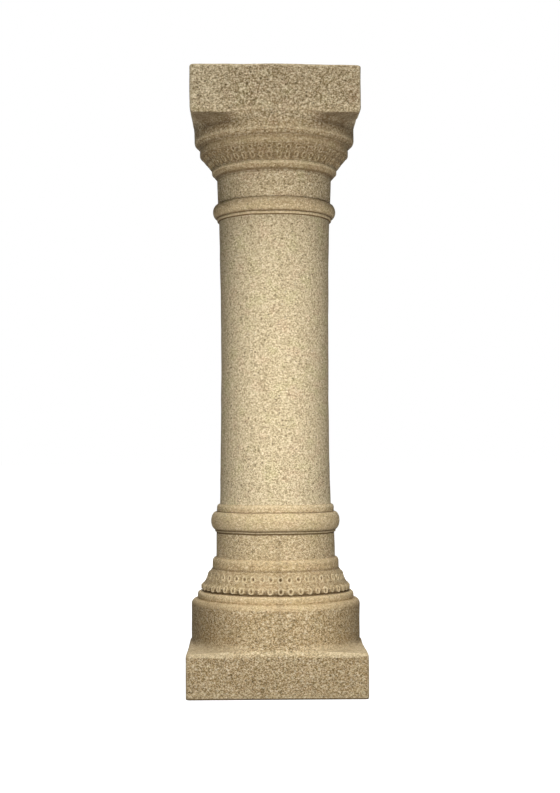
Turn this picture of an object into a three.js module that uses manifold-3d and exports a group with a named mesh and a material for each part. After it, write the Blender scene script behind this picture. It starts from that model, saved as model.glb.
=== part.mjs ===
// A small moulded column: square plinth, round drum, turned rings, two carved bands, plain shaft,
// square abacus. Millimetres, +Z up. The origin is the middle of the underside, and the front
// looks along -Y.

import * as THREE from "three";
import { mergeVertices } from "three/addons/utils/BufferGeometryUtils.js";
import Module from "manifold-3d";

// Square blocks
const plinthSide = 234;
const plinthHeight = 58;
const abacusSide = 219.2;
const abacusHeight = 61.7;
const blockCorner = 4; // radius of the upright corners
const blockEdge = 3; // rounding of the top and bottom edges

// Base, upwards from the plinth
const drumRadius = 113.5;
const drumHeight = 62;
const drumShoulder = 8.2; // height of the rounded shoulder
const drumLedge = 6.9; // how far the shoulder turns in
const footRingRadius = 105.2;
const footRingHeight = 9.6;
const footRingFoot = 2; // slope from the shoulder up to the ring
const footRingShoulder = 4.6; // height of the rounding at the head of the ring
const footRingLedge = 3.4; // how far that rounding turns in
const shadowGrooveRadius = 96.8;
const shadowGrooveHeight = 1.6;
const lipRadius = 98.9; // ground that the loops of the lip stand on
const lipHeight = 9.3;
const stepHeight = 5.7; // slope from the lip in to the ground of the rings
const ringGroundRadius = 90.5;
const ringGroundHeight = 10.4;
const ringGroundTaper = 2;
const coveHeight = 3.6; // hollow between the rings and the plain band
const plainBandRadius = 85.4;
const plainBandHeight = 15.4;
const plainBandRound = 5.8;

// Mouldings between base and shaft
const lowerNeckRadius = 79.8;
const lowerNeckHeight = 34.2;
const lowerFilletRadius = 81.7;
const lowerFilletHeight = 2.4;
const lowerTorusBulge = 7.2;
const lowerTorusHeight = 24.6;
const collarRadius = 79.2;
const collarHeight = 10.6;
const collarShoulder = 5;
const collarLedge = 3.8;

// Shaft, drawn in a little at the waist
const shaftFootRadius = 75;
const shaftWaistRadius = 72.7;
const shaftHeadRadius = 74.5;
const shaftHeight = 377.8;

// Mouldings between shaft and capital
const upperFilletRadius = 77.1;
const upperFilletHeight = 5;
const astragalRoot = 75.9;
const astragalBulge = 6.9;
const astragalHeight = 19;
const upperNeckRadius = 76.9;
const upperNeckHeight = 35;
const neckRingRadius = 84.3;
const neckRingHeight = 11;
const neckRingSlope = 6.8; // height of the slope under the ring
const neckRingEdge = 1.2;

// Capital
const loopGroundFoot = 81.9; // ground of the capital's loops, at its foot
const loopGroundHead = 95.2;
const loopGroundHeight = 16.2;
const capitalFilletRadius = 100.1;
const capitalFilletRise = 3.4; // slope from the loops out to the fillet
const capitalFilletHeight = 9.4;
const capitalDrumRadius = 107.6;
const capitalDrumHeight = 26.9;
const capitalDrumSlope = 5.8; // height of the slope under the drum
const capitalDrumEdge = 2.6; // how far the rounding over that slope turns out
const capitalDrumRound = 4.6;

// Carving: a ring of equal units, one of them on the middle of the front
const carvedUnits = 48;
const carvingRise = 1.8; // how far a rim stands above its ground
const carvingPit = 0.4; // height that is left at the bottom of a hollow
const ringOuter = 5.7;
const ringRim = 3.9;
const lipLoopOuter = 5;
const lipLoopRim = 3.4;
const capitalLoopOuter = 5;
const capitalLoopRim = 3.4;
const capitalLoopLength = 2; // length of a capital loop, in its own widths

// How the parts run into each other, and how finely curves are cut
const joinDepth = 1; // overlap between parts that are moulded in one
const mergeDistance = 1e-4; // points nearer than this are the same point
const flatness = 1e-3; // facets that lie this close to one plane are one face
const loopSides = 6;
const longLoopSides = 8;
const wideRoundSteps = 3;
const smallRoundSteps = 2;
const rollSteps = 6;
const shaftSteps = 3;
const cornerSteps = 1; // each step cuts an upright corner into two facets

const stone = new THREE.MeshStandardMaterial({ color: 0xb7a079, roughness: 0.94, metalness: 0 });

const wasm = await Module();
wasm.setup();

// Closed geometry as a solid that can be joined
function solid(geometry) {
  geometry.deleteAttribute("normal");
  geometry.deleteAttribute("uv");
  const merged = mergeVertices(geometry, mergeDistance);
  const mesh = new wasm.Mesh({
    numProp: 3,
    vertProperties: new Float32Array(merged.attributes.position.array),
    triVerts: new Uint32Array(merged.index.array),
  });
  return new wasm.Manifold(mesh);
}

// Solid back to a geometry with its own normals
function geometryOf(body) {
  const mesh = body.getMesh();
  const geometry = new THREE.BufferGeometry();
  geometry.setAttribute("position", new THREE.BufferAttribute(mesh.vertProperties, 3));
  geometry.setIndex(new THREE.BufferAttribute(mesh.triVerts, 1));
  geometry.computeVertexNormals();
  return geometry;
}

// Square block with rounded corners and edges, standing at the height foot
function block(side, height, foot) {
  const middle = side / 2 - blockEdge - blockCorner;
  const quarter = Math.PI / 2;
  const square = new THREE.Shape();
  square.absarc(middle, middle, blockCorner, 0, quarter);
  square.absarc(-middle, middle, blockCorner, quarter, 2 * quarter);
  square.absarc(-middle, -middle, blockCorner, 2 * quarter, 3 * quarter);
  square.absarc(middle, -middle, blockCorner, 3 * quarter, 4 * quarter);
  const geometry = new THREE.ExtrudeGeometry(square, {
    depth: height - 2 * blockEdge,
    curveSegments: cornerSteps,
    bevelSize: blockEdge,
    bevelThickness: blockEdge,
    bevelSegments: smallRoundSteps,
  });
  geometry.translate(0, 0, foot + blockEdge);
  return solid(geometry);
}

// Turned outline, drawn upwards from the plinth: z is the height reached so far
const outline = [];
let z = plinthHeight;

function point(radius, height = z) {
  outline.push(new THREE.Vector2(radius, height));
}

function straight(radius, height) {
  point(radius);
  z += height;
  point(radius);
}

// Quarter round that turns in from radius by depth over its height
function turnIn(radius, depth, height, steps) {
  for (let i = 0; i <= steps; i += 1) {
    const angle = (i / steps) * (Math.PI / 2);
    point(radius - depth * (1 - Math.cos(angle)), z + height * Math.sin(angle));
  }
  z += height;
}

// Quarter round that swells out to radius by depth over its height
function turnOut(radius, depth, height, steps) {
  for (let i = 0; i <= steps; i += 1) {
    const angle = (i / steps) * (Math.PI / 2);
    point(radius - depth * (1 - Math.sin(angle)), z + height * (1 - Math.cos(angle)));
  }
  z += height;
}

// Half round that stands out from root by bulge
function roll(root, bulge, height) {
  for (let i = 0; i <= rollSteps; i += 1) {
    const angle = (i / rollSteps) * Math.PI;
    point(root + bulge * Math.sin(angle), z + (height / 2) * (1 - Math.cos(angle)));
  }
  z += height;
}

// Drum and foot ring
point(0, z - joinDepth);
point(drumRadius, z - joinDepth);
z += drumHeight - drumShoulder;
turnIn(drumRadius, drumLedge, drumShoulder, wideRoundSteps);
point(footRingRadius, z + footRingFoot);
z += footRingHeight - footRingShoulder;
turnIn(footRingRadius, footRingLedge, footRingShoulder, smallRoundSteps);
straight(shadowGrooveRadius, shadowGrooveHeight);

// Ground of the carved base band, with the places where its units stand
straight(lipRadius, lipHeight);
const lipMiddle = z - lipHeight / 2;
z += stepHeight;
point(ringGroundRadius);
z += ringGroundHeight;
point(ringGroundRadius - ringGroundTaper);
const ringMiddle = z - ringGroundHeight / 2;
z += coveHeight;

// Plain band and lower neck
point(plainBandRadius);
z += plainBandHeight - plainBandRound;
turnIn(plainBandRadius, plainBandRadius - lowerNeckRadius, plainBandRound, smallRoundSteps);
z += lowerNeckHeight;
point(lowerNeckRadius);

// Fillet, torus and collar
straight(lowerFilletRadius, lowerFilletHeight);
roll(lowerNeckRadius, lowerTorusBulge, lowerTorusHeight);
point(collarRadius);
z += collarHeight - collarShoulder;
turnIn(collarRadius, collarLedge, collarShoulder, smallRoundSteps);

// Shaft: a shallow curve that starts and ends a little wider than the waist
const shaftFoot = z;
for (let i = 0; i <= shaftSteps; i += 1) {
  const share = i / shaftSteps;
  const fromWaist = 2 * share - 1;
  const endRadius = fromWaist < 0 ? shaftFootRadius : shaftHeadRadius;
  const radius = shaftWaistRadius + (endRadius - shaftWaistRadius) * fromWaist ** 2;
  point(radius, shaftFoot + shaftHeight * share);
}
z += shaftHeight;

// Fillet, astragal, upper neck and neck ring
straight(upperFilletRadius, upperFilletHeight);
roll(astragalRoot, astragalBulge, astragalHeight);
z += upperNeckHeight;
point(upperNeckRadius);
point(neckRingRadius - neckRingEdge, z + neckRingSlope);
point(neckRingRadius, z + neckRingSlope + neckRingEdge);
z += neckRingHeight;
point(neckRingRadius);

// Capital: ground of the loops, fillet and drum
point(loopGroundFoot);
const loopMiddle = z + loopGroundHeight / 2;
z += loopGroundHeight;
point(loopGroundHead);
z += capitalFilletRise;
straight(capitalFilletRadius, capitalFilletHeight);
z += capitalDrumSlope;
turnOut(capitalDrumRadius, capitalDrumEdge, capitalDrumRound, smallRoundSteps);
z += capitalDrumHeight - capitalDrumSlope - capitalDrumRound;
const abacusFoot = z;
point(capitalDrumRadius, z + joinDepth);
point(0, z + joinDepth);

// One flat facet to each carved unit, the first centred on the front
const unitAngle = (2 * Math.PI) / carvedUnits;
const turned = new THREE.LatheGeometry(outline, carvedUnits, -unitAngle / 2);
turned.rotateX(Math.PI / 2);

// Hollow boss: a rim that stands up round a pit, on a foot sunk in the ground
function boss(outer, rim, sides, length) {
  const section = [
    new THREE.Vector2(0, -joinDepth),
    new THREE.Vector2(outer, -joinDepth),
    new THREE.Vector2(rim, carvingRise),
    new THREE.Vector2(0, carvingPit),
  ];
  const geometry = new THREE.LatheGeometry(section, sides, Math.PI / sides);
  geometry.scale(1, 1, length);
  return geometry;
}

// Ring of bosses at the same height, each square to ground that leans out by lean
function row(unit, radius, height, lean) {
  const bosses = [];
  const reach = radius * Math.cos(unitAngle / 2);
  for (let i = 0; i < carvedUnits; i += 1) {
    const one = unit.clone();
    one.rotateX(-lean);
    one.translate(0, reach, height);
    one.rotateZ(Math.PI + i * unitAngle);
    bosses.push(solid(one));
  }
  return bosses;
}

const ringLean = Math.atan2(ringGroundTaper, ringGroundHeight);
const loopLean = Math.atan2(loopGroundFoot - loopGroundHead, loopGroundHeight);
const carving = [
  ...row(boss(lipLoopOuter, lipLoopRim, loopSides, 1), lipRadius, lipMiddle, 0),
  ...row(
    boss(ringOuter, ringRim, loopSides, 1),
    ringGroundRadius - ringGroundTaper / 2,
    ringMiddle,
    -ringLean,
  ),
  ...row(
    boss(capitalLoopOuter, capitalLoopRim, longLoopSides, capitalLoopLength),
    (loopGroundFoot + loopGroundHead) / 2,
    loopMiddle,
    -loopLean,
  ),
];

const plinth = block(plinthSide, plinthHeight, 0);
const abacus = block(abacusSide, abacusHeight, abacusFoot);
const joined = [solid(turned), abacus, ...carving].reduce((whole, piece) => whole.add(piece), plinth);
const moulding = joined.asOriginal().setTolerance(flatness);

const column = new THREE.Mesh(geometryOf(moulding), stone);
column.name = "column";

const part = new THREE.Group();
part.add(column);

export default part;
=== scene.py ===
import math
from collections import namedtuple

import bpy
import numpy as np
from mathutils import Matrix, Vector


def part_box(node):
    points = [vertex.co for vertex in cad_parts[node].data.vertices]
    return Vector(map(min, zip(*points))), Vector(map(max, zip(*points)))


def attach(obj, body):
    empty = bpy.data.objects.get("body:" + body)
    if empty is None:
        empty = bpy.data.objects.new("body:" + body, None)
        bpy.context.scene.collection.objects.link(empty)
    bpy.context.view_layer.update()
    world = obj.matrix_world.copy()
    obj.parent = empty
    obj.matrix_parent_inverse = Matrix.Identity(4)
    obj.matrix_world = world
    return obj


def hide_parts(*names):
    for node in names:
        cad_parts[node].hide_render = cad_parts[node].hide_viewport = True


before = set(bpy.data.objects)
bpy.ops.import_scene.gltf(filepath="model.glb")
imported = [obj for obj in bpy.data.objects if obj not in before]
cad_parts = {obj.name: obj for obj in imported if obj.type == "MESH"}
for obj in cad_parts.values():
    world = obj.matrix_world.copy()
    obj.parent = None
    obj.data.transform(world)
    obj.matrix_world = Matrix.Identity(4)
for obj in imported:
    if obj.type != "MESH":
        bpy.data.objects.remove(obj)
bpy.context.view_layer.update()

MM = 0.001
LOW, HIGH = (np.array(corner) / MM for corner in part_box("column"))
TOP = HIGH[2]

# Sizes of the column in millimetres, from the floor up
PLINTH_HALF = HIGH[0]
PLINTH_TOP = 57.8
PLINTH_FOOT_EDGE = 1.8
PLINTH_TOP_EDGE = 3.6
PLINTH_COVE = 5.0
PLINTH_LEDGE_LIFT = 5.0
DRUM_RADIUS = 113.5
DRUM_SHOULDER_FOOT = 111.4
DRUM_SHOULDER_RADIUS = 107.2
DRUM_TOP = 119.2
FOOT_RING_RADIUS = 105.2
FOOT_RING_FOOT = 120.6
FOOT_RING_ROUND_WIDTH = 3.4
FOOT_RING_ROUND_HEIGHT = 4.6
FOOT_RING_TOP = 129.2
SHADOW_GROOVE_RADIUS = 99.0
SHADOW_GROOVE_FLOOR_RISE = 0.3
SHADOW_GROOVE_ROOF_RISE = 0.5
LIP_FOOT = 130.3
LIP_RADIUS = 100.7
LIP_EDGE = 1.4
LIP_SHOULDER = 136.8
LIP_SHOULDER_RISE = 2.0
LOOPS_MIDDLE = 136.6
RINGS_FOOT = 147.5
RINGS_FOOT_RADIUS = 93.0
RINGS_FOOT_COVE = 2.0
RINGS_MIDDLE = 150.7
RINGS_HEAD = 156.1
RINGS_HEAD_RADIUS = 91.0
PLAIN_BAND_FOOT = 160.1
PLAIN_BAND_COVE = 1.0
PLAIN_BAND_RADIUS = 85.4
PLAIN_BAND_SHOULDER = 169.3
PLAIN_BAND_TOP = 175.0
LOWER_NECK_COVE = 0.5
LOWER_NECK_FOOT_RADIUS = 80.3
LOWER_NECK_RADIUS = 79.7
LOWER_NECK_LINE = 2.4  # height of the line of painted shade under the fillet
LOWER_NECK_TOP = 209.1
LOWER_FILLET_RADIUS = 81.7
LOWER_FILLET_TOP = 211.5
LOWER_TORUS_BULGE = 7.2
LOWER_TORUS_TOP = 236.0
COLLAR_RADIUS = 79.2
COLLAR_COVE = 0.6
COLLAR_SHOULDER = 241.4
COLLAR_TOP = 246.3
SHAFT_FOOT = 246.6
SHAFT_FOOT_RADIUS = 75.0
SHAFT_WAIST_RADIUS = 72.6
SHAFT_HEAD_RADIUS = 74.5
SHAFT_TOP = 625.6
UPPER_FILLET_FOOT = 627.2
UPPER_FILLET_RADIUS = 77.1
UPPER_FILLET_TOP = 630.6
ASTRAGAL_ROOT = 75.9
ASTRAGAL_BULGE = 6.9
ASTRAGAL_TOP = 649.5
UPPER_NECK_RADIUS = 76.9
UPPER_NECK_LINE = 3.0
UPPER_NECK_TOP = 684.0
NECK_RING_FOOT_RADIUS = 78.9
NECK_RING_FOOT = 686.2
NECK_RING_RADIUS = 84.3
NECK_RING_SLOPE_TOP = 691.2
NECK_RING_EDGE_WIDTH = 1.0
NECK_RING_EDGE_HEIGHT = 1.4
NECK_RING_TOP = 695.4
LOOPS_FOOT_RADIUS = 84.9
LOOPS_FOOT_ROUND = 2.0
LOOPS_HEAD = 713.3
LOOPS_HEAD_RADIUS = 98.9
CAPITAL_FILLET_RADIUS = 100.1
CAPITAL_FILLET_FOOT = 715.3
CAPITAL_FILLET_SHOULDER = 720.3
CAPITAL_FILLET_TOP = 724.3
CAPITAL_FILLET_TOP_RADIUS = 99.2
CAPITAL_DRUM_ROOT = 724.8
CAPITAL_DRUM_ROOT_RADIUS = 100.7
CAPITAL_DRUM_LINE_TOP = 726.3
CAPITAL_DRUM_LINE_RADIUS = 101.9
CAPITAL_DRUM_RADIUS = 107.6
CAPITAL_DRUM_SLOPE_TOP = 730.1
CAPITAL_DRUM_SLOPE_RADIUS = 105.0
CAPITAL_DRUM_FOOT = 734.7
ABACUS_FOOT = TOP - 61.7
ABACUS_HALF = 109.6
ABACUS_COVE = 9.0
ABACUS_FOOT_EDGE = 6.5
ABACUS_FOOT_LIFT = 5.5
ABACUS_TOP_DIP = 1.6
ABACUS_TOP_EDGE = 3.4
BLOCK_CORNER = 4.2
SOFT_EDGE = 0.8
UNDERSIDE_RISE = 0.2  # the underside of a fillet rises outwards by this much
HOLD = 1.0  # a ring this far past an edge keeps the edge's curve and its painted shade to itself
MIDDLE_SHARE = 0.3  # reach of the innermost ring, under the plinth and on top of the abacus

# Points round a plain ring and round a carved one
COLUMNS = 192
FINE_COLUMNS = 768

# Carving: equal units round the column
UNITS = 48
CARVING_TURN = 2.75  # degrees that the carving is turned from the middle of the front
GROUND_DEPTH = 1.3
EYE_DEPTH = 2.2
EYE_INSET = 0.7
EYE_SLOPE = 1.2
SCALLOP_DEPTH = 1.5
SCALLOP_RISE = 3.0
UNIT_GROOVE_WIDTH = 1.8
UNIT_GROOVE_DEPTH = 0.8
MOULD_LINE_HEIGHT = 0.3

# How dark the painted shade lies, from 0 to 1; partly a brown wash, and on the mould line only a wash
PLINTH_FOOT_SHADOW = 0.65
LIP_UNDERSIDE_SHADE = 0.1
MOULD_LINE_WASH = 0.22
LOWER_NECK_LINE_SHADE = 1.0
LOWER_FILLET_SHADE = 0.45
TORUS_FOOT_SHADE = 0.8
SHAFT_HEAD_SHADE = 0.09
SHAFT_LINE_SHADE = 0.6
ASTRAGAL_FOOT_SHADE = 1.0
UPPER_NECK_LINE_SHADE = 0.35
NECK_RING_FOOT_SHADE = 0.75
NECK_RING_SLOPE_SHADE = 0.2
CAPITAL_BAND_SHADE = 0.3
CAPITAL_DRUM_LINE_SHADE = 0.6
CAPITAL_DRUM_SLOPE_SHADE = 0.2
CAPITAL_DRUM_SHADE = 0.06
CORNER_SHADOW = 0.75

# How dark the painted shade in a groove is
FAINT = 0.15
SOFT = 0.7
DEEP = 1.5

# Distance from the mean of the outline round it at which a ring is fully a groove, in full painted
# shade, and fully an edge, in full painted highlight
FULL_GROOVE = 0.45
FULL_EDGE = 0.6

# How bright the painted highlight lies on edges and ledges, partly wear
EDGE_WEAR_AND_HIGHLIGHT = 0.6
LEDGE_HIGHLIGHT = 0.85
LEDGE_EDGE_WEAR_AND_HIGHLIGHT = 1.0

# Overhangs of a block past its drum at which a lift ends, and at which painted highlight and painted
# shade start and are full
ABACUS_LIFT_END = 22
PLINTH_LIFT_END = 60
LEDGE_HIGHLIGHT_RANGE = (6, 24)
CORNER_SHADOW_RANGE = (10, 32)

# Spray of each course: share of coarse grain, of the darker brown and of the warmer yellow
Spray = namedtuple("Spray", "grain brown warm")
PLINTH_SPRAY = Spray(1.25, 1.0, 1.0)
DRUM_SPRAY = Spray(1.1, 1.0, 1.0)
FOOT_RING_SPRAY = Spray(0.65, 0.5, 0.9)
BASE_BAND_SPRAY = Spray(0.8, 0.35, 0.8)
PLAIN_BAND_SPRAY = Spray(0.7, 0.6, 0.8)
LOWER_NECK_SPRAY = Spray(0.95, 0.45, 0.5)
LOWER_ROLLS_SPRAY = Spray(0.7, 0.3, 0.55)
SHAFT_SPRAY = Spray(0.95, 0.0, 0.15)
UPPER_ROLLS_SPRAY = Spray(0.7, 0.85, 0.35)
UPPER_NECK_SPRAY = Spray(1.05, 0.45, 0.25)
CAPITAL_BAND_SPRAY = Spray(0.95, 1.0, 0.5)
CAPITAL_FILLET_SPRAY = Spray(0.65, 0.8, 0.4)
CAPITAL_DRUM_SPRAY = Spray(1.0, 1.0, 0.35)
ABACUS_SPRAY = Spray(1.25, 0.8, 0.15)

# Masks that the stone finish reads from the column's points
# The first two masks carry painted shade, partly a brown wash, and painted highlight, partly wear
MASKS = ("hollow", "wear_and_highlight", "grain", "brown", "warm")

# Colours of the sprayed stone, in screen values
BEIGE = (196, 179, 145)
PINKISH_BEIGE = (197, 170, 140)
GREENISH_BEIGE = (190, 181, 136)
BROWN = (157, 132, 96)
PINKISH_BROWN = (160, 126, 99)
GREENISH_BROWN = (151, 137, 92)
WARM_YELLOW = (204, 170, 114)
# Painted highlight on edges, ledges and beads, partly wear
WEAR_AND_HIGHLIGHT_GROUND = (226, 206, 166)
WEAR_AND_HIGHLIGHT_FLECKS = (232, 212, 172)
DARK_FLECK = (111, 94, 62)
FINE_DARK_FLECK = (107, 90, 59)
PALE_CLUMP = (226, 208, 170)
PALE_FLECK = (235, 220, 186)
FINE_PALE_FLECK = (240, 226, 194)
SINGLE_DARK_GRAIN = (84, 66, 42)
SINGLE_PALE_GRAIN = (248, 234, 202)
# Painted shade, partly a brown wash
BROWN_WASH_AND_SHADE = (88, 68, 42)

# One ring of the outline: its reach from the axis, its height, whether it is square, its carved band
# and its place on a ledge where it has one, its spray, and how dark the painted shade is in its groove
# and over the whole ring
Station = namedtuple("Station", "reach height square band ledge spray groove wash")

# Place on the ledge between a block and its drum: sizes of the ledge, and the share of each of its
# parts that lies outside the ring
Ledge = namedtuple("Ledge", "drum edge cove edge_done flat_done cove_done")


def ramp(value, start, end):
    """0 at the start, 1 at the end, straight between."""
    return np.clip((value - start) / (end - start), 0, 1)


def bead(distance, width):
    """1 on the middle of a bead, 0 beyond its width, rounded between."""
    return 0.5 + 0.5 * np.cos(math.pi * np.clip(np.abs(distance) / width, 0, 1))


def even(share):
    return share


def slow_start(share):
    return 1 - math.cos(share * math.pi / 2)


def slow_end(share):
    return math.sin(share * math.pi / 2)


class Outline:
    """Half section of the column, from the middle of the underside to the middle of the top.

    Its settings hold for every station that is drawn after they are set."""

    def __init__(self, square, spray):
        self.stations = []
        self.square = square
        self.band = None
        self.spray = spray
        self.groove = FAINT
        self.wash = 0.0

    def at(self, reach, height, ledge=None):
        looks = (self.spray, self.groove, self.wash)
        self.stations.append(Station(reach, height, self.square, self.band, ledge, *looks))

    def curve(self, reach, height, steps, outward, upward):
        """From the last station, as fast outward and upward as the two functions say."""
        start = self.stations[-1]
        for step in range(1, steps + 1):
            self.at(
                start.reach + (reach - start.reach) * outward(step / steps),
                start.height + (height - start.height) * upward(step / steps),
            )

    def run(self, reach, height, steps=1):
        """Straight line."""
        self.curve(reach, height, steps, even, even)

    def turn_in(self, reach, height, steps):
        """Quarter round that starts upright and ends level."""
        self.curve(reach, height, steps, slow_start, slow_end)

    def turn_up(self, reach, height, steps):
        """Quarter round that starts level and ends upright."""
        self.curve(reach, height, steps, slow_end, slow_start)

    def roll(self, bulge, height, foot_shade, head_groove, steps=18):
        """Half round that ends above the last station, with painted shade that fades up from its foot.
        """
        root, foot = self.stations[-1][:2]
        for step in range(1, steps + 1):
            angle = step / steps * math.pi
            self.wash = foot_shade * max(1 - 5 * (step - 1) / steps, 0)
            if step > steps / 2:
                self.groove = head_groove
            self.at(root + bulge * math.sin(angle), foot + (height - foot) * (1 - math.cos(angle)) / 2)

    def ledge(self, block, drum, height, edge, cove, steps=5):
        """Soft edge, flat and cove from a square block to its drum. Sizes below 0 turn it over."""
        for step in range(steps + 1):
            share = step / steps
            place = Ledge(drum, edge, cove, slow_start(share), 0.0, 0.0)
            self.at(block, height + edge * (slow_end(share) - 1), place)
        for step in range(1, steps + 1):
            self.at(block, height, Ledge(drum, edge, cove, 1.0, step / steps, 0.0))
        for step in range(1, steps + 1):
            share = step / steps
            place = Ledge(drum, edge, cove, 1.0, 1.0, slow_end(share))
            self.at(block, height + cove * slow_start(share), place)


def draw_plinth_and_drum(line):
    """Square plinth, ledge, round drum with its shoulder, and foot ring."""
    # Painted contact shadow: a thin dark line along the foot of the plinth
    line.wash = PLINTH_FOOT_SHADOW
    line.at(PLINTH_HALF * MIDDLE_SHARE, 0)
    line.run(PLINTH_HALF - PLINTH_FOOT_EDGE, 0, 3)
    line.turn_up(PLINTH_HALF, PLINTH_FOOT_EDGE, 4)
    line.wash = 0.0
    line.run(PLINTH_HALF, PLINTH_FOOT_EDGE + HOLD)
    line.run(PLINTH_HALF, PLINTH_TOP - PLINTH_TOP_EDGE - HOLD, 5)
    line.ledge(PLINTH_HALF, DRUM_RADIUS, PLINTH_TOP, PLINTH_TOP_EDGE, PLINTH_COVE)

    line.square = False
    line.spray = DRUM_SPRAY
    line.at(DRUM_RADIUS, PLINTH_TOP + PLINTH_COVE + PLINTH_LEDGE_LIFT + HOLD)
    line.run(DRUM_RADIUS, DRUM_SHOULDER_FOOT, 5)
    line.spray = FOOT_RING_SPRAY
    line.turn_in(DRUM_SHOULDER_RADIUS, DRUM_TOP, 8)
    line.run(FOOT_RING_RADIUS - SOFT_EDGE, FOOT_RING_FOOT - SOFT_EDGE / 2, 2)
    line.turn_up(FOOT_RING_RADIUS, FOOT_RING_FOOT + SOFT_EDGE * 1.5, 3)
    line.run(FOOT_RING_RADIUS, FOOT_RING_TOP - FOOT_RING_ROUND_HEIGHT, 2)
    line.turn_in(FOOT_RING_RADIUS - FOOT_RING_ROUND_WIDTH, FOOT_RING_TOP, 6)


def draw_base_band(line):
    """Shadow groove, lip with the long loops, slope, rings, and the plain band above them."""
    line.spray = BASE_BAND_SPRAY
    # Painted shade in the shadow groove and under the lip
    line.groove = SOFT
    line.run(SHADOW_GROOVE_RADIUS, FOOT_RING_TOP + SHADOW_GROOVE_FLOOR_RISE, 3)
    line.wash = LIP_UNDERSIDE_SHADE
    line.run(SHADOW_GROOVE_RADIUS, LIP_FOOT - SHADOW_GROOVE_ROOF_RISE)
    line.band = "base"
    line.run(LIP_RADIUS - LIP_EDGE, LIP_FOOT, 4)
    line.groove = 0.0
    line.wash = 0.0
    line.turn_up(LIP_RADIUS, LIP_FOOT + LIP_EDGE, 3)
    line.run(LIP_RADIUS, LIP_SHOULDER, 6)
    line.turn_in(LIP_RADIUS - LIP_EDGE, LIP_SHOULDER + LIP_SHOULDER_RISE, 2)
    line.run(RINGS_FOOT_RADIUS + SOFT_EDGE * 2, RINGS_FOOT - RINGS_FOOT_COVE, 8)
    line.turn_in(RINGS_FOOT_RADIUS, RINGS_FOOT, 2)
    line.run(RINGS_HEAD_RADIUS, RINGS_HEAD, 10)
    line.groove = SOFT
    line.run(PLAIN_BAND_RADIUS + PLAIN_BAND_COVE, PLAIN_BAND_FOOT - PLAIN_BAND_COVE, 5)
    line.band = None

    line.spray = PLAIN_BAND_SPRAY
    line.run(PLAIN_BAND_RADIUS, PLAIN_BAND_FOOT)
    line.groove = FAINT
    line.run(PLAIN_BAND_RADIUS, PLAIN_BAND_SHOULDER, 3)
    line.turn_in(LOWER_NECK_FOOT_RADIUS + LOWER_NECK_COVE, PLAIN_BAND_TOP, 7)


def draw_lower_mouldings(line):
    """Neck, fillet between two lines of painted shade, torus and collar under the shaft."""
    line.spray = LOWER_NECK_SPRAY
    line.turn_up(LOWER_NECK_FOOT_RADIUS, PLAIN_BAND_TOP + SOFT_EDGE, 2)
    line.run(LOWER_NECK_RADIUS, LOWER_NECK_TOP - LOWER_NECK_LINE, 5)
    line.spray = LOWER_ROLLS_SPRAY
    # Painted shade: a dark line under the fillet, shade on the fillet and under the torus
    line.groove = DEEP
    line.wash = LOWER_NECK_LINE_SHADE
    line.run(LOWER_NECK_RADIUS, LOWER_NECK_TOP - UNDERSIDE_RISE, 2)
    line.run(LOWER_FILLET_RADIUS - SOFT_EDGE, LOWER_NECK_TOP)
    line.wash = LOWER_FILLET_SHADE
    line.turn_up(LOWER_FILLET_RADIUS, LOWER_NECK_TOP + SOFT_EDGE, 2)
    line.run(LOWER_FILLET_RADIUS, LOWER_FILLET_TOP - SOFT_EDGE)
    line.wash = TORUS_FOOT_SHADE
    line.turn_in(LOWER_NECK_RADIUS + SOFT_EDGE / 2, LOWER_FILLET_TOP, 3)
    line.roll(LOWER_TORUS_BULGE - SOFT_EDGE / 2, LOWER_TORUS_TOP, TORUS_FOOT_SHADE, DEEP)
    line.run(COLLAR_RADIUS - COLLAR_COVE, LOWER_TORUS_TOP + COLLAR_COVE)
    line.groove = FAINT
    line.turn_up(COLLAR_RADIUS, LOWER_TORUS_TOP + COLLAR_COVE + SOFT_EDGE, 2)
    line.run(COLLAR_RADIUS, COLLAR_SHOULDER, 2)
    line.turn_in(SHAFT_FOOT_RADIUS + SOFT_EDGE / 2, COLLAR_TOP, 6)


def draw_shaft(line, rows=24):
    """Shaft, drawn in a little at the waist, with faint painted shade that grows over its top quarter.
    """
    line.spray = SHAFT_SPRAY
    for row in range(rows + 1):
        share = row / rows
        from_waist = 2 * share - 1
        end = SHAFT_FOOT_RADIUS if from_waist < 0 else SHAFT_HEAD_RADIUS
        reach = SHAFT_WAIST_RADIUS + (end - SHAFT_WAIST_RADIUS) * from_waist**2
        # Painted shade, growing over the top quarter of the shaft towards the capital
        line.wash = SHAFT_HEAD_SHADE * ramp(share, 0.75, 1.0)
        line.at(reach, SHAFT_FOOT + (SHAFT_TOP - SHAFT_FOOT) * share)


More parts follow.
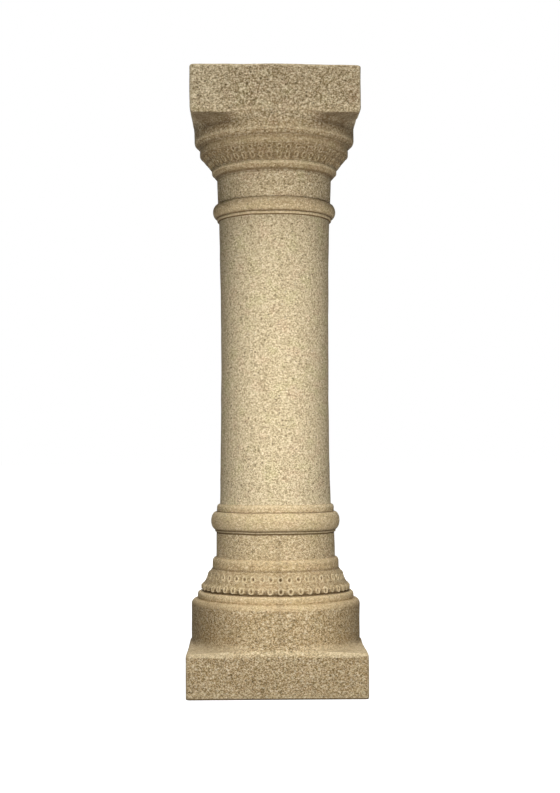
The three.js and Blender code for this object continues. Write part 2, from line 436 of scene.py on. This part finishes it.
def draw_upper_mouldings(line):
    """Line of painted shade, fillet, astragal, neck and neck ring over the shaft."""
    line.spray = UPPER_ROLLS_SPRAY
    # Painted shade: a dark line under the fillet over the shaft, under the astragal, and under and on
    # the slope of the neck ring
    line.groove = SOFT
    line.wash = SHAFT_LINE_SHADE
    line.at(SHAFT_HEAD_RADIUS, SHAFT_TOP + SOFT_EDGE / 2)
    line.run(SHAFT_HEAD_RADIUS, UPPER_FILLET_FOOT - UNDERSIDE_RISE)
    line.run(UPPER_FILLET_RADIUS - SOFT_EDGE, UPPER_FILLET_FOOT)
    line.wash = 0.0
    line.turn_up(UPPER_FILLET_RADIUS, UPPER_FILLET_FOOT + SOFT_EDGE, 3)
    line.groove = DEEP
    line.run(UPPER_FILLET_RADIUS, UPPER_FILLET_TOP - SOFT_EDGE)
    line.turn_in(ASTRAGAL_ROOT, UPPER_FILLET_TOP, 3)
    line.roll(ASTRAGAL_BULGE, ASTRAGAL_TOP, ASTRAGAL_FOOT_SHADE, FAINT)

    line.spray = UPPER_NECK_SPRAY
    line.run(ASTRAGAL_ROOT, ASTRAGAL_TOP + SOFT_EDGE)
    line.run(UPPER_NECK_RADIUS, UPPER_NECK_TOP - UPPER_NECK_LINE, 5)
    line.wash = UPPER_NECK_LINE_SHADE
    line.run(UPPER_NECK_RADIUS, UPPER_NECK_TOP, 2)
    line.spray = UPPER_ROLLS_SPRAY
    line.wash = NECK_RING_FOOT_SHADE
    line.run(NECK_RING_FOOT_RADIUS, NECK_RING_FOOT, 3)
    line.wash = NECK_RING_SLOPE_SHADE
    line.run(NECK_RING_RADIUS - NECK_RING_EDGE_WIDTH, NECK_RING_SLOPE_TOP, 4)
    line.wash = 0.0
    line.turn_up(NECK_RING_RADIUS, NECK_RING_SLOPE_TOP + NECK_RING_EDGE_HEIGHT, 3)
    line.run(NECK_RING_RADIUS, NECK_RING_TOP - SOFT_EDGE, 2)
    line.turn_in(NECK_RING_RADIUS - SOFT_EDGE, NECK_RING_TOP, 3)


def draw_capital(line):
    """Carved band, fillet and round drum of the capital."""
    line.spray = CAPITAL_BAND_SPRAY
    # Painted shade over the carved band, under the abacus
    line.wash = CAPITAL_BAND_SHADE
    line.run(LOOPS_FOOT_RADIUS - LOOPS_FOOT_ROUND, NECK_RING_TOP + UNDERSIDE_RISE)
    line.band = "capital"
    line.turn_up(LOOPS_FOOT_RADIUS, NECK_RING_TOP + SOFT_EDGE * 1.5, 2)
    line.run(LOOPS_HEAD_RADIUS, LOOPS_HEAD, 23)
    line.turn_up(CAPITAL_FILLET_RADIUS, CAPITAL_FILLET_FOOT, 3)
    line.band = None
    line.spray = CAPITAL_FILLET_SPRAY
    line.wash = 0.0
    line.run(CAPITAL_FILLET_RADIUS, CAPITAL_FILLET_SHOULDER, 2)
    line.run(CAPITAL_FILLET_TOP_RADIUS + SOFT_EDGE / 2, CAPITAL_FILLET_TOP - SOFT_EDGE, 2)
    line.turn_in(CAPITAL_FILLET_TOP_RADIUS, CAPITAL_FILLET_TOP, 2)

    line.spray = CAPITAL_DRUM_SPRAY
    # Painted shade in the line and on the slope under the capital drum, and faintly over the drum
    line.wash = CAPITAL_DRUM_LINE_SHADE
    line.run(CAPITAL_DRUM_ROOT_RADIUS, CAPITAL_DRUM_ROOT)
    line.run(CAPITAL_DRUM_LINE_RADIUS, CAPITAL_DRUM_LINE_TOP, 2)
    line.wash = CAPITAL_DRUM_SLOPE_SHADE
    line.run(CAPITAL_DRUM_SLOPE_RADIUS, CAPITAL_DRUM_SLOPE_TOP, 3)
    line.wash = CAPITAL_DRUM_SHADE
    line.turn_up(CAPITAL_DRUM_RADIUS, CAPITAL_DRUM_FOOT, 5)
    line.run(CAPITAL_DRUM_RADIUS, ABACUS_FOOT - ABACUS_COVE - HOLD, 3)


def draw_abacus(line):
    """Square abacus, from its underside round the drum to the middle of its top."""
    underside = Outline(True, ABACUS_SPRAY)
    underside.ledge(ABACUS_HALF, CAPITAL_DRUM_RADIUS, ABACUS_FOOT, -ABACUS_FOOT_EDGE, -ABACUS_COVE)
    line.stations += underside.stations[::-1]
    line.square = True
    line.spray = ABACUS_SPRAY
    line.run(ABACUS_HALF, TOP - ABACUS_TOP_EDGE, 5)
    line.turn_in(ABACUS_HALF - ABACUS_TOP_EDGE, TOP, 6)
    line.run(ABACUS_HALF * MIDDLE_SHARE, TOP, 4)


def round_loop(reach, columns):
    """Ring of points round the axis, the first on the middle of the front."""
    angle = np.arange(columns) / columns * 2 * math.pi
    return np.stack([reach * np.sin(angle), -reach * np.cos(angle)], axis=1)


def square_loop(half, columns, corner_steps=4):
    """Square ring with round corners, its columns spread as those of a round one near the middle."""
    per_side = columns // 4
    flat_steps = per_side // 2 - corner_steps
    step = np.arange(columns)
    side = np.round(step / per_side).astype(int)
    along = step - side * per_side
    corner = min(BLOCK_CORNER, half * 0.5)
    share = np.clip(np.abs(along) / flat_steps, 0, 1)
    fanned = half * np.tan(np.minimum(np.abs(along), flat_steps) / columns * 2 * math.pi)
    across = fanned + (share * (half - corner) - fanned) * share**3
    turn = np.clip((np.abs(along) - flat_steps) / corner_steps, 0, 1) * math.pi / 4
    across = np.sign(along) * (across + corner * np.sin(turn))
    out = half - corner * (1 - np.cos(turn))
    quarter = side * math.pi / 2
    x = across * np.cos(quarter) + out * np.sin(quarter)
    y = across * np.sin(quarter) - out * np.cos(quarter)
    return np.stack([x, y], axis=1)


def ledge_loop(block, ledge, columns, widest_share=0.42):
    """Ring on a ledge. Where the ledge is narrow, its edge and its cove shrink to fit."""
    outer, inner = square_loop(block, columns), round_loop(ledge.drum, columns)
    gap = np.linalg.norm(outer - inner, axis=1)
    edge = np.minimum(abs(ledge.edge), gap * widest_share)
    cove = np.minimum(abs(ledge.cove), gap * widest_share)
    flat = gap - edge - cove
    inwards = edge * ledge.edge_done + flat * ledge.flat_done + cove * ledge.cove_done
    return outer + (inner - outer) * (inwards / gap)[:, None]


def overhang(block, drum, columns):
    """How far a square block stands out past a drum, round the column."""
    return np.linalg.norm(square_loop(block, columns), axis=1) - drum


def on_abacus(station):
    return station.height > TOP / 2


def ring_points(station):
    """Points of one ring. Both ledges rise where the block stands out least."""
    columns = FINE_COLUMNS if station.band else COLUMNS
    if station.ledge:
        loop = ledge_loop(station.reach, station.ledge, columns)
    elif station.square:
        loop = square_loop(station.reach, columns)
    else:
        loop = round_loop(station.reach, columns)
    points = np.column_stack([loop, np.full(columns, station.height)])
    if station.ledge:
        width = overhang(station.reach, station.ledge.drum, columns)
        if on_abacus(station):
            points[:, 2] += ABACUS_FOOT_LIFT * ramp(width, ABACUS_LIFT_END, 0)
        else:
            lift = PLINTH_LEDGE_LIFT * ramp(width, PLINTH_LIFT_END, 0)
            points[:, 2] += lift * station.ledge.edge_done
    return points


def ring_masks(station, columns, proud):
    """Masks of one ring before it is carved. proud is how far it stands out of the outline."""
    # Painted shade in grooves, and over the whole ring from its station
    hollow = np.full(columns, ramp(proud, 0, -FULL_GROOVE) * station.groove + station.wash)
    # Painted highlight on edges that stand out, partly wear
    wear_and_highlight = np.full(columns, ramp(proud, 0, FULL_EDGE) * EDGE_WEAR_AND_HIGHLIGHT)
    # Painted shadow on the abacus's underside, where its corners stand out furthest
    if station.ledge and on_abacus(station):
        width = overhang(station.reach, station.ledge.drum, columns)
        wash = ramp(width, *CORNER_SHADOW_RANGE) * CORNER_SHADOW
        hollow = np.maximum(hollow, wash * station.ledge.edge_done**2)
    elif station.ledge:
        # Painted highlight on the top of the plinth's ledge, lit from above, brightest along its front
        # edge, which is partly wear
        width = overhang(station.reach, station.ledge.drum, columns)
        bright = LEDGE_EDGE_WEAR_AND_HIGHLIGHT if 0 < station.ledge.edge_done < 1 else LEDGE_HIGHLIGHT
        wear_and_highlight = np.maximum(wear_and_highlight, ramp(width, *LEDGE_HIGHLIGHT_RANGE) * bright)
    # Painted shadow of the abacus's corners on the top of the capital drum
    elif station.height > CAPITAL_DRUM_FOOT and not station.square:
        width = overhang(ABACUS_HALF, station.reach, columns)
        near_abacus = ramp(station.height, CAPITAL_DRUM_FOOT, CAPITAL_DRUM_FOOT + 12)
        wash = ramp(width, *CORNER_SHADOW_RANGE) * CORNER_SHADOW
        hollow = np.maximum(hollow, wash * near_abacus)
    # Lighter upright corners of the blocks, partly wear and partly painted highlight
    if station.square and station.reach > 100:
        from_corner = np.abs(np.arange(columns) % (columns // 4) - columns // 8)
        wear_and_highlight = np.maximum(wear_and_highlight, ramp(from_corner, 3, 0) * EDGE_WEAR_AND_HIGHLIGHT)
    masks = {name: np.full(columns, share) for name, share in station.spray._asdict().items()}
    return {"hollow": hollow, "wear_and_highlight": wear_and_highlight, **masks}


def carving(across, up, pitch, band, clear):
    """Depth below the outline, painted shade (partly a brown wash) and raised share (painted highlight,
    partly wear) of a carved unit.

    across runs from the unit's middle and up along the band. Each unit is a chain of a ring at the
    head of the band and a long loop at its foot, on a ground that lies a little lower."""
    half = band["loop_half"]
    to_loop = np.hypot(across, np.maximum(np.abs(up - band["loop"]) - band["loop_straight"], 0))
    to_ring = np.hypot(across, (up - band["ring"]) / band["ring_stretch"])
    raised = np.maximum(
        bead(to_loop - half, band["bead"]),
        bead(to_ring - band["ring_half"], band["bead"]),
    )
    loop_eye, ring_eye = half - EYE_INSET, band["ring_half"] - EYE_INSET
    eye = np.maximum(
        ramp(to_loop, loop_eye, loop_eye - EYE_SLOPE) * band["loop_eye"],
        ramp(to_ring, ring_eye, ring_eye - EYE_SLOPE),
    )
    rim = half + band["bead"] / 2
    foot = band["loop"] - band["loop_straight"]
    scallop = ramp(to_loop, rim, rim + EYE_SLOPE) * band["scallop"]
    scallop = scallop * ramp(up, foot + SCALLOP_RISE / 2, foot - SCALLOP_RISE / 2)
    groove = ramp(np.abs(across), pitch / 2 - UNIT_GROOVE_WIDTH, pitch / 2) * band["groove"]
    groove = groove * (up < band["loop"] + half)
    raised *= 1 - eye
    depth = (
        GROUND_DEPTH * (1 - raised * clear)
        + EYE_DEPTH * eye * clear
        + SCALLOP_DEPTH * scallop
        + UNIT_GROOVE_DEPTH * groove
    )
    # Painted shade on the ground round the beads, in the eyes, in the scallops and in the grooves
    # between units, partly a brown wash
    hollow = band["ground"] * (1 - raised) + 0.6 * eye * clear + 0.25 * scallop + 0.3 * groove
    return depth, np.clip(hollow, 0, 1), raised * clear


def carved_bands(stations, run):
    """Both carved bands, with places as distances up each band from its lowest ring.

    clear says how crisp each unit is, and shift and lift how far it is off its place."""
    base_rings, capital_rings = (
        [i for i, station in enumerate(stations) if station.band == name] for name in ("base", "capital")
    )
    base_up = run[base_rings] - run[base_rings[0]]
    base_heights = [stations[i].height for i in base_rings]
    base = {
        "start": run[base_rings[0]],
        "length": base_up[-1],
        "loop": np.interp(LOOPS_MIDDLE, base_heights, base_up),
        "loop_half": 2.7,
        "loop_straight": 1.9,
        "loop_eye": 0.75,
        "ring": np.interp(RINGS_MIDDLE, base_heights, base_up),
        "ring_half": 2.8,
        "ring_stretch": 1.25,
        "bead": 1.7,
        "ground": 0.27,
        "groove": 0.6,
        "scallop": 1.0,
        "bead_wear_and_highlight": 1.0,
        "fade": (0.4, 2.6),
    }
    capital = {
        "start": run[capital_rings[0]],
        "length": run[capital_rings[-1]] - run[capital_rings[0]],
        "loop": 6.4,
        "loop_half": 2.5,
        "loop_straight": 1.6,
        "loop_eye": 0.6,
        "ring": 17.8,
        "ring_half": 2.7,
        "ring_stretch": 1.1,
        "bead": 1.5,
        "ground": 0.3,
        "groove": 0.6,
        "scallop": 0.3,
        "bead_wear_and_highlight": 0.6,
        "fade": (1.2, 3.0),
    }
    rng = np.random.default_rng(7)
    base["clear"] = 0.45 + 0.55 * rng.random(UNITS)
    base["clear"][0] = 1.15
    capital["clear"] = 0.25 + 0.5 * rng.random(UNITS)
    shift, lift = rng.uniform(-1, 1, (2, UNITS))
    for band, furthest in ((base, 0.3), (capital, 0.8)):
        band["shift"] = furthest * shift
        band["lift"] = furthest * lift
    return {"base": base, "capital": capital}


def carve(points, masks, reach, run, outward, band):
    """Cuts a ring's share of the carving into its points and masks."""
    columns = len(points)
    place = (np.arange(columns) / columns - CARVING_TURN / 360) * UNITS
    nearest = np.round(place).astype(int)
    unit = nearest % UNITS
    pitch = 2 * math.pi * reach / UNITS
    up = run - band["start"]
    across = (place - nearest) * pitch + band["shift"][unit]
    depth, dark, raised = carving(across, up + band["lift"][unit], pitch, band, band["clear"][unit])
    fade_in, fade_out = band["fade"]
    fade = ramp(up, 0, fade_in) * ramp(up, band["length"], band["length"] - fade_out)
    points[:, :2] -= round_loop(1.0, columns) * outward[0] * (depth * fade)[:, None]
    points[:, 2] -= outward[1] * depth * fade
    # Painted shade and painted highlight of the carving, partly a brown wash and wear
    masks["hollow"] += dark * fade
    masks["wear_and_highlight"] = np.maximum(masks["wear_and_highlight"] * 0.4, raised * fade * band["bead_wear_and_highlight"])


def proud_of_surroundings(reach, height, surroundings=2.6):
    """Distance along the outline, its outward direction, and how far it stands out of its mean."""
    path = np.stack([reach, height], axis=1)
    run = np.concatenate([[0], np.cumsum(np.linalg.norm(np.diff(path, axis=0), axis=1) + 1e-6)])
    slope = np.gradient(path, run, axis=0)
    slope /= np.linalg.norm(slope, axis=1)[:, None]
    outward = np.stack([slope[:, 1], -slope[:, 0]], axis=1)
    near = np.exp(-(((run[:, None] - run[None, :]) / surroundings) ** 2)) * np.gradient(run)[None, :]
    smooth = near @ path / near.sum(axis=1)[:, None]
    return run, outward, np.einsum("ij,ij->i", path - smooth, outward)


def column_rings(stations):
    """Every ring of the column, as its points and masks."""
    reach = np.array([station.reach for station in stations])
    height = np.array([station.height for station in stations])
    # On a ledge the outline is followed where it is narrow, in the middle of a side
    for i, station in enumerate(stations):
        if station.ledge:
            reach[i] = -ledge_loop(station.reach, station.ledge, COLUMNS)[0, 1]
    run, outward, proud = proud_of_surroundings(reach, height)
    bands = carved_bands(stations, run)
    rings = []
    for i, station in enumerate(stations):
        points = ring_points(station)
        masks = ring_masks(station, len(points), proud[i])
        if station.band:
            carve(points, masks, station.reach, run[i], outward[i], bands[station.band])
        masks["hollow"] = np.clip(masks["hollow"], 0, 1)
        rings.append((points, masks))
    return rings


def add_mould_line(rings, stations):
    """Faint parting line of the mould, down the middle of the front and of the back."""
    for (points, masks), station in zip(rings, stations):
        if station.square:
            continue
        wash = MOULD_LINE_WASH if station.height < LOWER_NECK_TOP else 0.0
        columns = len(points)
        half_width = 2 * columns // COLUMNS
        seam = round(columns * CARVING_TURN / 360)
        for middle in (seam, seam + columns // 2):
            for offset in range(-half_width, half_width + 1):
                column = (middle + offset) % columns
                out = points[column, :2] / np.linalg.norm(points[column, :2])
                share = bead(offset, half_width)
                points[column, :2] += out * MOULD_LINE_HEIGHT * share
                masks["hollow"][column] += wash * share


def sway(points):
    """Slow unevenness of a casting, a fraction of a millimetre, along each axis."""
    x, y, z = points.T
    waves = [
        (0.16, 0.047, 0.031, 0.023, 0.4),
        (0.12, 0.083, -0.061, 0.071, 1.9),
        (0.09, -0.12, 0.14, 0.11, 3.1),
        (0.07, 0.21, 0.19, -0.17, 5.2),
    ]
    moved = np.zeros_like(points)
    for axis in range(3):
        for size, along_x, along_y, along_z, phase in waves:
            moved[:, axis] += size * np.sin(along_x * x + along_y * y + along_z * z + phase + 2.1 * axis)
    return moved * ramp(z, 0, 20)[:, None]


def dip(points):
    """How much lower the abacus's top lies towards its right side."""
    x, _, z = points.T
    return ABACUS_TOP_DIP * ramp(x, 15, 95) * ramp(z, 765, 807)


def front_darkening_and_brown(points):
    """Extra darkening on the front, and the share of brown that is left: painted shade on the left and
    right of the drum and on the right of the capital drum, darker over the plinth's face, and less brown
    on the left of the abacus.
    """
    x, y, z = points.T
    left, right = ramp(x, -35, -90), ramp(x, 45, 100)
    plinth = ramp(z, PLINTH_TOP - 2, PLINTH_TOP - 5)
    drum = ramp(z, 122, 114) * ramp(z, 50, 62)
    capital = ramp(z, 724, 730) * ramp(z, 750, 742)
    abacus = ramp(z, 752, 762)
    # Painted shade on the sides of the drum and the right of the capital drum, and darker over the
    # plinth's face, on the front only
    wash = drum * (0.07 + 0.3 * left + 0.2 * right) + 0.2 * capital * right + 0.24 * plinth
    return wash * (y < 20), 1 - 0.95 * abacus * left


def strip_faces(start, few, lower, upper):
    """Faces between two rings that start at the given points. A finer ring gives more corners."""
    low_step, high_step = lower // few, upper // few
    for k in range(few):
        low = [start[0] + (k * low_step + j) % lower for j in range(low_step + 1)]
        high = [start[1] + (k * high_step + j) % upper for j in range(high_step + 1)]
        yield low + high[::-1]


def join_rings(rings):
    """Points, faces and masks of the closed skin over all the rings, underside and top included."""
    counts = [len(points) for points, _ in rings]
    starts = np.concatenate([[0], np.cumsum(counts)]).tolist()
    faces = []
    for i in range(len(rings) - 1):
        few = min(counts[i], counts[i + 1])
        faces += strip_faces(starts[i : i + 2], few, counts[i], counts[i + 1])
    bottom, top = starts[-1], starts[-1] + 1
    for k in range(COLUMNS):
        after = (k + 1) % COLUMNS
        faces.append([bottom, after, k])
        faces.append([top, starts[-2] + k, starts[-2] + after])
    middles = np.array([[0, 0, 0], [0, 0, TOP]])
    points = np.concatenate([points for points, _ in rings] + [middles])
    masks = {name: np.concatenate([masks[name] for _, masks in rings]) for name in MASKS}
    masks = {name: np.append(mask, [mask[0], mask[-1]]) for name, mask in masks.items()}
    return points, faces, masks


def build_column():
    """Whole column as one closed mesh, with its masks on its points."""
    line = Outline(True, PLINTH_SPRAY)
    draw_plinth_and_drum(line)
    draw_base_band(line)
    draw_lower_mouldings(line)
    draw_shaft(line)
    draw_upper_mouldings(line)
    draw_capital(line)
    draw_abacus(line)
    rings = column_rings(line.stations)
    add_mould_line(rings, line.stations)
    points, faces, masks = join_rings(rings)

    wash, brown_left = front_darkening_and_brown(points)
    masks["hollow"] = np.clip(masks["hollow"] + wash, 0, 1)
    masks["brown"] = masks["brown"] * brown_left
    points[:, 2] -= dip(points)
    points += sway(points)
    points = np.clip(points, LOW, HIGH)

    mesh = bpy.data.meshes.new("column_stone")
    mesh.from_pydata((points * MM).tolist(), [], faces)
    mesh.validate()
    for name, mask in masks.items():
        mesh.attributes.new(name, "FLOAT", "POINT").data.foreach_set("value", mask.astype(np.float32))
    mesh.shade_smooth()
    column = bpy.data.objects.new("column_stone", mesh)
    bpy.context.scene.collection.objects.link(column)
    return column


class Nodes:
    """Small helper that adds and joins nodes in one tree."""

    def __init__(self, tree):
        self.tree = tree

    def add(self, kind, **settings):
        node = self.tree.nodes.new(kind)
        for name, value in settings.items():
            setattr(node, name, value)
        return node

    def put(self, socket, value):
        if isinstance(value, bpy.types.NodeSocket):
            self.tree.links.new(value, socket)
        else:
            socket.default_value = value

    def math(self, operation, first, second):
        node = self.add("ShaderNodeMath", operation=operation)
        self.put(node.inputs[0], first)
        self.put(node.inputs[1], second)
        return node.outputs[0]

    def between(self, value, low, high, to_low=0.0, to_high=1.0):
        """Smooth step from one value to another."""
        node = self.add("ShaderNodeMapRange", interpolation_type="SMOOTHSTEP")
        self.put(node.inputs["Value"], value)
        self.put(node.inputs["From Min"], low)
        self.put(node.inputs["From Max"], high)
        self.put(node.inputs["To Min"], to_low)
        self.put(node.inputs["To Max"], to_high)
        return node.outputs["Result"]

    def mix(self, share, first, second):
        node = self.add("ShaderNodeMix", data_type="RGBA", blend_type="MIX")
        self.put(node.inputs[0], share)
        self.put(node.inputs[6], first)
        self.put(node.inputs[7], second)
        return node.outputs[2]

    def noise(self, place, scale, roughness=0.5):
        node = self.add("ShaderNodeTexNoise")
        self.put(node.inputs["Vector"], place)
        self.put(node.inputs["Scale"], scale)
        self.put(node.inputs["Detail"], 2.0)
        self.put(node.inputs["Roughness"], roughness)
        return node.outputs["Fac"]

    def mask(self, name):
        return self.add("ShaderNodeAttribute", attribute_name=name).outputs["Fac"]


def colour(screen_values):
    """Colour in screen values, as the linear value that a shader reads."""
    def linear(value):
        value /= 255
        return value / 12.92 if value <= 0.04045 else ((value + 0.055) / 1.055) ** 2.4
    return (*map(linear, screen_values), 1.0)


def sprayed_grain():
    """Sprayed stone grain as a node group.

    It gives winding dark and pale flecks, single dark and pale grains, and the grain's height."""
    group = bpy.data.node_groups.new("sprayed grain", "ShaderNodeTree")
    for title, kind in (("Place", "NodeSocketVector"), ("Grains per metre", "NodeSocketFloat")):
        group.interface.new_socket(title, in_out="INPUT", socket_type=kind)
    for title in ("Dark", "Pale", "Specks", "Glints", "Height"):
        group.interface.new_socket(title, in_out="OUTPUT", socket_type="NodeSocketFloat")
    nodes = Nodes(group)
    given, made = nodes.add("NodeGroupInput").outputs, nodes.add("NodeGroupOutput").inputs

    place, density = given["Place"], given["Grains per metre"]
    lumps = nodes.noise(place, density, 0.65)
    nodes.put(made["Dark"], nodes.between(lumps, 0.4, 0.49, 1.0, 0.0))
    nodes.put(made["Pale"], nodes.between(lumps, 0.53, 0.62))
    nodes.put(made["Height"], lumps)

    cells = nodes.add("ShaderNodeTexVoronoi", voronoi_dimensions="3D", feature="F1")
    nodes.put(cells.inputs["Vector"], place)
    nodes.put(cells.inputs["Scale"], nodes.math("MULTIPLY", density, 0.62))
    cell = nodes.add("ShaderNodeSeparateColor")
    nodes.put(cell.inputs["Color"], cells.outputs["Color"])
    body = nodes.between(cells.outputs["Distance"], 0.2, 0.42, 1.0, 0.0)
    for title, channel in (("Specks", 0), ("Glints", 1)):
        picked = nodes.between(cell.outputs[channel], 0.86, 0.92)
        nodes.put(made[title], nodes.math("MULTIPLY", picked, body))
    return group


def stone_ground(nodes, place, brown):
    """Colour of the stone under its flecks: beige or brown, here and there pinkish or greenish."""
    pinkish = nodes.between(nodes.noise(place, 48.0), 0.5, 0.7, 0.0, 0.6)
    greenish = nodes.between(nodes.noise(place, 37.0), 0.5, 0.3, 0.0, 0.6)
    ground = nodes.mix(brown, colour(BEIGE), colour(BROWN))
    ground = nodes.mix(pinkish, ground, nodes.mix(brown, colour(PINKISH_BEIGE), colour(PINKISH_BROWN)))
    return nodes.mix(greenish, ground, nodes.mix(brown, colour(GREENISH_BEIGE), colour(GREENISH_BROWN)))


def stone_finish(grain_group):
    """Matt sprayed sandstone: beige with brown and cream flecks, painted shade in the hollows and under
    overhangs, partly a brown wash, and painted highlight on edges, ledges and beads, partly wear.
    """
    material = bpy.data.materials.new("sandstone spray")
    material.use_nodes = True
    nodes = Nodes(material.node_tree)
    shader = material.node_tree.nodes["Principled BSDF"]
    hollow, wear_and_highlight, grain, brown, warm = (nodes.mask(name) for name in MASKS)

    flattened = nodes.add("ShaderNodeMapping")
    nodes.put(flattened.inputs["Vector"], nodes.add("ShaderNodeTexCoord").outputs["Object"])
    flattened.inputs["Scale"].default_value = (1.0, 1.0, 1.25)
    place = flattened.outputs["Vector"]
    coarse = nodes.add("ShaderNodeGroup", node_tree=grain_group)
    nodes.put(coarse.inputs["Place"], place)
    coarse.inputs["Grains per metre"].default_value = 360.0
    fine = nodes.add("ShaderNodeGroup", node_tree=grain_group)
    nodes.put(fine.inputs["Place"], place)
    fine.inputs["Grains per metre"].default_value = 790.0
    clumps = nodes.noise(place, 210.0, 0.6)
    dark_clumps = nodes.math("MULTIPLY", nodes.between(clumps, 0.36, 0.5, 1.0, 0.0), brown)
    pale_clumps = nodes.math("MULTIPLY", nodes.between(clumps, 0.5, 0.64), brown)

    base = stone_ground(nodes, place, brown)
    base = nodes.mix(nodes.math("MULTIPLY", warm, 0.6), base, colour(WARM_YELLOW))
    # Painted highlight on edges, ledges and beads, partly wear, laid under the flecks
    base = nodes.mix(nodes.math("MULTIPLY", wear_and_highlight, 0.4), base, colour(WEAR_AND_HIGHLIGHT_GROUND))
    flecks = (
        (dark_clumps, 0.4, DARK_FLECK),
        (pale_clumps, 0.3, PALE_CLUMP),
        (coarse.outputs["Dark"], 0.62, DARK_FLECK),
        (coarse.outputs["Pale"], 0.6, PALE_FLECK),
        (fine.outputs["Dark"], 0.5, FINE_DARK_FLECK),
        (fine.outputs["Pale"], 0.5, FINE_PALE_FLECK),
        (coarse.outputs["Specks"], 0.7, SINGLE_DARK_GRAIN),
        (coarse.outputs["Glints"], 0.45, SINGLE_PALE_GRAIN),
    )
    for pattern, amount, tint in flecks:
        share = nodes.math("MULTIPLY", nodes.math("MULTIPLY", pattern, grain), amount)
        base = nodes.mix(share, base, colour(tint))
    # Painted highlight again over the flecks, partly wear
    base = nodes.mix(nodes.math("MULTIPLY", wear_and_highlight, 0.4), base, colour(WEAR_AND_HIGHLIGHT_FLECKS))
    # Painted shade in hollows, in grooves and under overhangs, partly a brown wash
    base = nodes.mix(nodes.math("MULTIPLY", hollow, 0.9), base, colour(BROWN_WASH_AND_SHADE))
    nodes.put(shader.inputs["Base Color"], base)

    nodes.put(shader.inputs["Roughness"], nodes.between(coarse.outputs["Height"], 0.3, 0.7, 0.97, 0.86))
    shader.inputs["Specular IOR Level"].default_value = 0.25
    fine_height = nodes.math("MULTIPLY", fine.outputs["Height"], 0.5)
    height = nodes.math("ADD", coarse.outputs["Height"], fine_height)
    height = nodes.math("MULTIPLY", height, nodes.between(grain, 0.0, 1.0, 0.3, 1.0))
    bump = nodes.add("ShaderNodeBump")
    nodes.put(bump.inputs["Height"], height)
    bump.inputs["Strength"].default_value = 0.6
    bump.inputs["Distance"].default_value = 0.0012
    nodes.put(shader.inputs["Normal"], bump.outputs["Normal"])
    return material


def pale_floor(reach=40.0):
    """Wide white floor that runs into the white surroundings."""
    mesh = bpy.data.meshes.new("floor")
    corners = [(-reach, -reach, 0), (reach, -reach, 0), (reach, reach, 0), (-reach, reach, 0)]
    mesh.from_pydata(corners, [], [(0, 1, 2, 3)])
    floor = bpy.data.objects.new("floor", mesh)
    bpy.context.scene.collection.objects.link(floor)
    material = bpy.data.materials.new("pale floor")
    material.use_nodes = True
    shader = material.node_tree.nodes["Principled BSDF"]
    shader.inputs["Base Color"].default_value = (0.35, 0.35, 0.35, 1)
    shader.inputs["Roughness"].default_value = 0.9
    shader.inputs["Specular IOR Level"].default_value = 0.0
    shader.inputs["Emission Color"].default_value = (1, 1, 1, 1)
    nodes = Nodes(material.node_tree)
    seen = nodes.add("ShaderNodeLightPath").outputs["Is Camera Ray"]
    nodes.put(shader.inputs["Emission Strength"], seen)
    mesh.materials.append(material)
    return floor


def studio_world():
    """White surroundings, which light the column only a little."""
    world = bpy.data.worlds.new("studio")
    world.use_nodes = True
    nodes = Nodes(world.node_tree)
    background = world.node_tree.nodes["Background"]
    seen = nodes.add("ShaderNodeLightPath").outputs["Is Camera Ray"]
    background.inputs["Color"].default_value = (1, 1, 1, 1)
    nodes.put(background.inputs["Strength"], nodes.between(seen, 0.0, 1.0, 0.1, 1.0))
    bpy.context.scene.world = world


def soft_light(name, place, aim, width, height, power):
    """Rectangular light in metres and watts, turned towards its aim."""
    light = bpy.data.lights.new(name, "AREA")
    light.shape = "RECTANGLE"
    light.size = width
    light.size_y = height
    light.energy = power
    lamp = bpy.data.objects.new(name, light)
    lamp.location = place
    towards = np.array(aim, float) - np.array(place, float)
    heading = math.atan2(-towards[0], towards[1])
    tilt = math.atan2(towards[2], math.hypot(towards[0], towards[1]))
    lamp.rotation_euler = (math.pi / 2 + tilt, 0, heading)
    lamp.visible_camera = False
    bpy.context.scene.collection.objects.link(lamp)


def photo_camera():
    """Level camera a little to the left of the front, 1.9 m away."""
    distance, height = 1.904, 0.313
    turn, lean = math.radians(-1.0), math.radians(-0.22)
    picture_width, picture_height = 560, 793
    focal_pixels = 1404.5
    horizon_row = 454.2
    axis_column = 275.1
    camera = bpy.data.cameras.new("camera")
    camera.sensor_width = 36
    camera.lens = focal_pixels / picture_height * camera.sensor_width
    camera.shift_y = (horizon_row - picture_height / 2) / picture_height
    camera.shift_x = (picture_width / 2 - axis_column) / picture_height
    holder = bpy.data.objects.new("camera", camera)
    upright = Matrix.Rotation(math.pi / 2, 4, "X")
    heading = Matrix.Rotation(turn, 4, "Z") @ upright @ Matrix.Rotation(lean, 4, "Z")
    spot = Matrix.Translation((distance * math.sin(turn), -distance * math.cos(turn), height))
    holder.matrix_world = spot @ heading
    bpy.context.scene.collection.objects.link(holder)
    bpy.context.scene.camera = holder


column = build_column()
column.data.materials.append(stone_finish(sprayed_grain()))
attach(column, "root")
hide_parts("column")

floor = pale_floor()
studio_world()
soft_light("front light", (0.03, -0.62, 0.38), (0, 0, 0.38), width=0.85, height=0.25, power=5.1)
soft_light("top light", (0, -0.3, 1.8), (0, 0, 0.2), width=0.8, height=0.8, power=12)
soft_light("back light", (0, 2.2, 0.9), (0, 0, 0.4), width=1.6, height=1.6, power=30)
photo_camera()
bpy.context.scene.view_settings.view_transform = "Standard"
